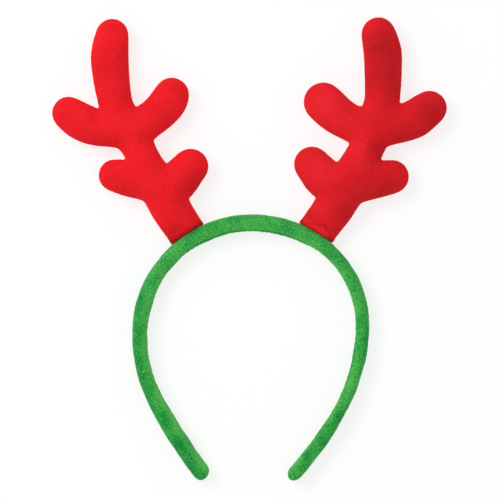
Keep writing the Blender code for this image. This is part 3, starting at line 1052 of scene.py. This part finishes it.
def dress_antler(piece, name, seam, along, base_rim, band, sizes):
    """Gives an antler its seam and puckers, the folds at its notches, the tuck and the nap, and
    stores the pile's uneven tone with painted shade and painted highlight. Its base is then drawn
    into a crisp edge that is clear of the band."""
    mesh = piece.data
    points = points_of(mesh)
    outward = normals_of(mesh)
    index, gap = nearest(points, seam)
    here = along[index]
    on_rim, base_gap = nearest(points, base_rim)
    clear = np.clip(base_gap / SEAM_ENDS, 0.0, 1.0)

    stitched = 0.75 + 0.25 * np.cos(2 * math.pi * here / sizes.stitch_length)
    groove = grooved(gap, ANTLER_SEAM, stitched)
    drift = 0.5 * noise_at(points, PUCKER_DRIFT, 11)
    puckers = np.sin(2 * math.pi * (here / PUCKER_LENGTH + drift)) * near(gap, PUCKERED)
    raised = -sizes.seam_depth * groove * clear + PUCKER_DEPTH * puckers * clear

    front = np.where(points[:, 2] > seam[index, 2], 1.0, 0.6)  # the back is less wrinkled
    wrinkled = np.zeros(len(points))
    for number, (spot, inward) in enumerate(notches_of(seam, along)):
        offset = points[:, :2] - spot
        away = np.linalg.norm(offset, axis=1)
        side = offset @ np.array([-inward[1], inward[0]])
        ahead = offset @ inward
        turn = np.arctan2(side, np.maximum(ahead, 1e-5))
        folds = np.cos(turn * FOLDS_ROUND + number * 1.7)
        fade = near(away, FOLDED) * np.clip(ahead / SOFT_START, 0.0, 1.0)
        wrinkled += folds * fade * np.cos(np.clip(turn, -1.5, 1.5))
    raised += FOLD_DEPTH * wrinkled * front
    raised += SWELL_HEIGHT * noise_at(points, SWELL_SIZE, 12) * clear
    raised += sizes.nap_depth * nap_of(points, 13)

    large, small = ANTLER_PATCHES
    tone_and_shade = 0.18 * noise_at(points, large, 15) + 0.08 * noise_at(points, small, 16)
    # painted shade and painted highlight on the folds, and painted shade along the seam's groove
    tone_and_shade += 0.18 * wrinkled - 0.30 * bump_of(gap, ANTLER_CREASE_SHADE)
    # patches of painted shade and painted highlight
    tone_and_shade = with_painted_patches(tone_and_shade, points, BRUSHED_SHADE_AND_HIGHLIGHT[name])
    # painted shade where the base meets the band
    amount, reach = BASE_SHADE[name]
    tone_and_shade -= amount * bump_of(base_gap, reach)

    if name == "antler_right":
        crease, _ = finely(np.array([(x, y, 0.0) for x, y in TUCK]), TUCK_STEP)
        _, to_crease = nearest(points * FLAT, crease)
        _, to_base = nearest(points * FLAT, base_rim * FLAT)
        on_front = np.clip((points[:, 2] - TUCK_ABOVE) / SOFT_START, 0.0, 1.0)
        below = (to_base < ROLL_END) & (points[:, 0] < ROLL_END_X)
        roll = bump_of(to_base - ROLL_CREST, ROLL_WIDTH) * below
        raised += on_front * ROLL_HEIGHT * roll
        raised -= on_front * TUCK_DEPTH * bump_of(to_crease, TUCK_WIDTH)
        # painted highlight on the roll and painted shade in the tuck's crease
        tone_and_shade += on_front * (0.9 * roll - 0.8 * bump_of(to_crease, ANTLER_CREASE_SHADE))

    points = fit_outline(points + outward * raised[:, None], seam, along)
    to_band = np.array(HEAD_MIDDLE[:2]) - base_rim[:, :2].mean(axis=0)
    edge = base_rim.copy()
    edge[:, :2] += BASE_REACH * to_band / np.linalg.norm(to_band)
    hold = BASE_HOLD * np.clip(1.0 - base_gap / BASE_EDGE, 0.0, 1.0)
    points += (edge[on_rim] - points) * hold[:, None]
    for corner in (seam[0], seam[-1]):
        target = edge[np.argmin(np.linalg.norm(base_rim - corner, axis=1))]
        away = np.linalg.norm(points - target, axis=1)
        tip = points[np.argmin(away)]
        share = bump_of(np.linalg.norm(points - tip, axis=1), CORNER_REACH)
        points += (target - tip) * share[:, None]
    points = kept_clear(points, base_gap < BASE_NEAR, band)
    points[:, 2] = np.maximum(points[:, 2], 0.0)
    set_points(mesh, points)
    store(mesh, "pile_tone_and_painted_shade", tone_and_shade)


def stuffed_antler(name, band, sizes):
    """One antler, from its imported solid: evenly meshed, blown up as cloth, then dressed."""
    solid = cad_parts[name].data
    line, base_rim = seam_of(solid)
    mesh = solid.copy()
    form = bmesh.new()
    form.from_mesh(mesh)
    bmesh.ops.remove_doubles(form, verts=form.verts, dist=WELD)
    form.to_mesh(mesh)
    form.free()
    piece = new_piece(name + "_velvet", mesh)
    subdivided(piece)
    mesh = remeshed(piece, sizes.panel_step)
    relaxed(mesh, rounds=6)

    seam, along = rounded(line, SEAM_STEP)
    seam = eased(seam, along, notches_of(seam, along))
    start = points_of(mesh)
    _, gap = nearest(start, seam)
    _, cap_gap = nearest(start, base_rim)
    held_seam = np.clip(1.0 - gap / HELD_AT_SEAM, 0.0, 1.0)
    held_base = np.clip(1.5 - cap_gap / HELD_AT_BASE, 0.0, 1.0)
    held = np.maximum(held_seam, held_base)
    moved = swell(piece, held, sizes.stuffing_pressure, sizes.cloth_frames)
    mesh = piece.data
    set_points(mesh, capped(start, moved, sizes.swell_limit))
    relaxed(mesh, rounds=1)
    mesh = subdivided(piece)
    dress_antler(piece, name, seam, along, base_rim, band, sizes)
    return piece


# Operators


class HEADBAND_OT_stage(bpy.types.Operator):
    """Builds the floor, the soft studio light and the camera straight above the headband"""

    bl_idname = "headband.stage"
    bl_label = "Build Stage"

    def execute(self, context):
        scene = context.scene
        sizes, colours = scene.headband_stage, scene.headband_colours
        scene.view_settings.view_transform = "Standard"

        mesh = bpy.data.meshes.new("floor")
        turns = np.linspace(0.0, 2 * math.pi, FLOOR_SIDES, endpoint=False)
        rim = [
            (sizes.floor_radius * math.cos(turn), sizes.floor_radius * math.sin(turn), 0.0)
            for turn in turns
        ]
        mesh.from_pydata(rim, [], [tuple(range(len(rim)))])
        mesh.materials.append(pale_floor("pale_floor", colours.floor_white))
        floor = new_piece("floor", mesh)
        floor.location.z = -FLOOR_DROP

        world = bpy.data.worlds.new("soft_light")
        world.use_nodes = True
        background = world.node_tree.nodes["Background"]
        background.inputs["Color"].default_value = (1.0, 1.0, 1.0, 1.0)
        background.inputs["Strength"].default_value = sizes.sky_strength
        scene.world = world

        lamp = bpy.data.lights.new("key_light", "AREA")
        lamp.shape = "DISK"
        lamp.size = KEY_SIZE
        lamp.energy = sizes.key_power
        key = bpy.data.objects.new("key_light", lamp)
        key.location = KEY_PLACE
        key.rotation_euler = (-key.location).to_track_quat("-Z", "Y").to_euler()
        scene.collection.objects.link(key)

        lens = bpy.data.cameras.new("camera")
        lens.sensor_width = 36.0
        lens.lens = lens.sensor_width * (sizes.camera_height - SEAM_HEIGHT) / sizes.view_width
        lens.clip_start, lens.clip_end = 0.1, 50.0
        camera = bpy.data.objects.new("camera", lens)
        camera.location = (*CAMERA_PLACE, sizes.camera_height)
        scene.collection.objects.link(camera)
        scene.camera = camera
        return {"FINISHED"}


class HEADBAND_OT_band(bpy.types.Operator):
    """Builds the padded arch in its green velvet sleeve"""

    bl_idname = "headband.band"
    bl_label = "Build Band"

    def execute(self, context):
        scene = context.scene
        sizes, colours = scene.headband_sizes, scene.headband_colours
        arch = Arch()
        piece = new_piece("headband_velvet", band_sleeve(arch))
        subdivided(piece)
        dress_band(piece, arch, sizes)
        piece.data.materials.clear()
        piece.data.materials.append(
            velvet(
                "green_velvet",
                shades_of(colours.band_green, *GREEN_SHADES),
                fleck_size=0.0011,
                patch_size=0.008,
                contrast=1.30,
                tuft_contrast=1.7,
                sheen=0.35,
                sheen_tint=(0.45, 1.0, 0.45),
            )
        )
        piece.data.shade_smooth()
        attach(piece, "root")
        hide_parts("headband")
        return {"FINISHED"}


class HEADBAND_OT_antlers(bpy.types.Operator):
    """Builds the two stuffed antlers in red velvet"""

    bl_idname = "headband.antlers"
    bl_label = "Build Antlers"

    def execute(self, context):
        scene = context.scene
        sizes, colours = scene.headband_sizes, scene.headband_colours
        # The right antler takes the darker copy of the red: painted shade
        reds = {"antler_left": colours.left_red_lit, "antler_right": colours.right_red_shaded}
        band = bpy.data.objects["headband_velvet"]
        for name, red in reds.items():
            piece = stuffed_antler(name, band, sizes)
            piece.data.materials.clear()
            piece.data.materials.append(
                velvet(
                    "red_velvet_" + name.split("_")[1],
                    shades_of(red, *RED_SHADES),
                    fleck_size=0.0015,
                    patch_size=0.012,
                    contrast=0.36,
                    tuft_contrast=0.75,
                    sheen=0.20,
                    sheen_tint=(1.0, 0.25, 0.25),
                )
            )
            piece.data.shade_smooth()
            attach(piece, "root")
            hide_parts(name)
        return {"FINISHED"}


class HEADBAND_PT_sidebar(bpy.types.Panel):
    """Lists the headband's builders with their sizes and colours"""

    bl_label = "Reindeer Antler Headband"
    bl_idname = "HEADBAND_PT_sidebar"
    bl_space_type = "VIEW_3D"
    bl_region_type = "UI"
    bl_category = "Headband"

    def draw(self, context):
        scene = context.scene
        for title, group in (
            ("Colours", scene.headband_colours),
            ("Sizes", scene.headband_sizes),
            ("Stage", scene.headband_stage),
        ):
            box = self.layout.box()
            box.label(text=title)
            for name in group.__annotations__:
                box.prop(group, name)
        for operator in (HEADBAND_OT_stage, HEADBAND_OT_band, HEADBAND_OT_antlers):
            self.layout.operator(operator.bl_idname)


CLASSES = (
    HeadbandColours,
    HeadbandSizes,
    StageSizes,
    HEADBAND_OT_stage,
    HEADBAND_OT_band,
    HEADBAND_OT_antlers,
    HEADBAND_PT_sidebar,
)


def register():
    for kind in CLASSES:
        bpy.utils.register_class(kind)
    bpy.types.Scene.headband_colours = PointerProperty(type=HeadbandColours)
    bpy.types.Scene.headband_sizes = PointerProperty(type=HeadbandSizes)
    bpy.types.Scene.headband_stage = PointerProperty(type=StageSizes)


def unregister():
    del bpy.types.Scene.headband_stage
    del bpy.types.Scene.headband_sizes
    del bpy.types.Scene.headband_colours
    for kind in reversed(CLASSES):
        bpy.utils.unregister_class(kind)


def main():
    register()
    bpy.ops.headband.stage()
    bpy.ops.headband.band()
    bpy.ops.headband.antlers()
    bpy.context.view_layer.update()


if __name__ == "__main__":
    main()
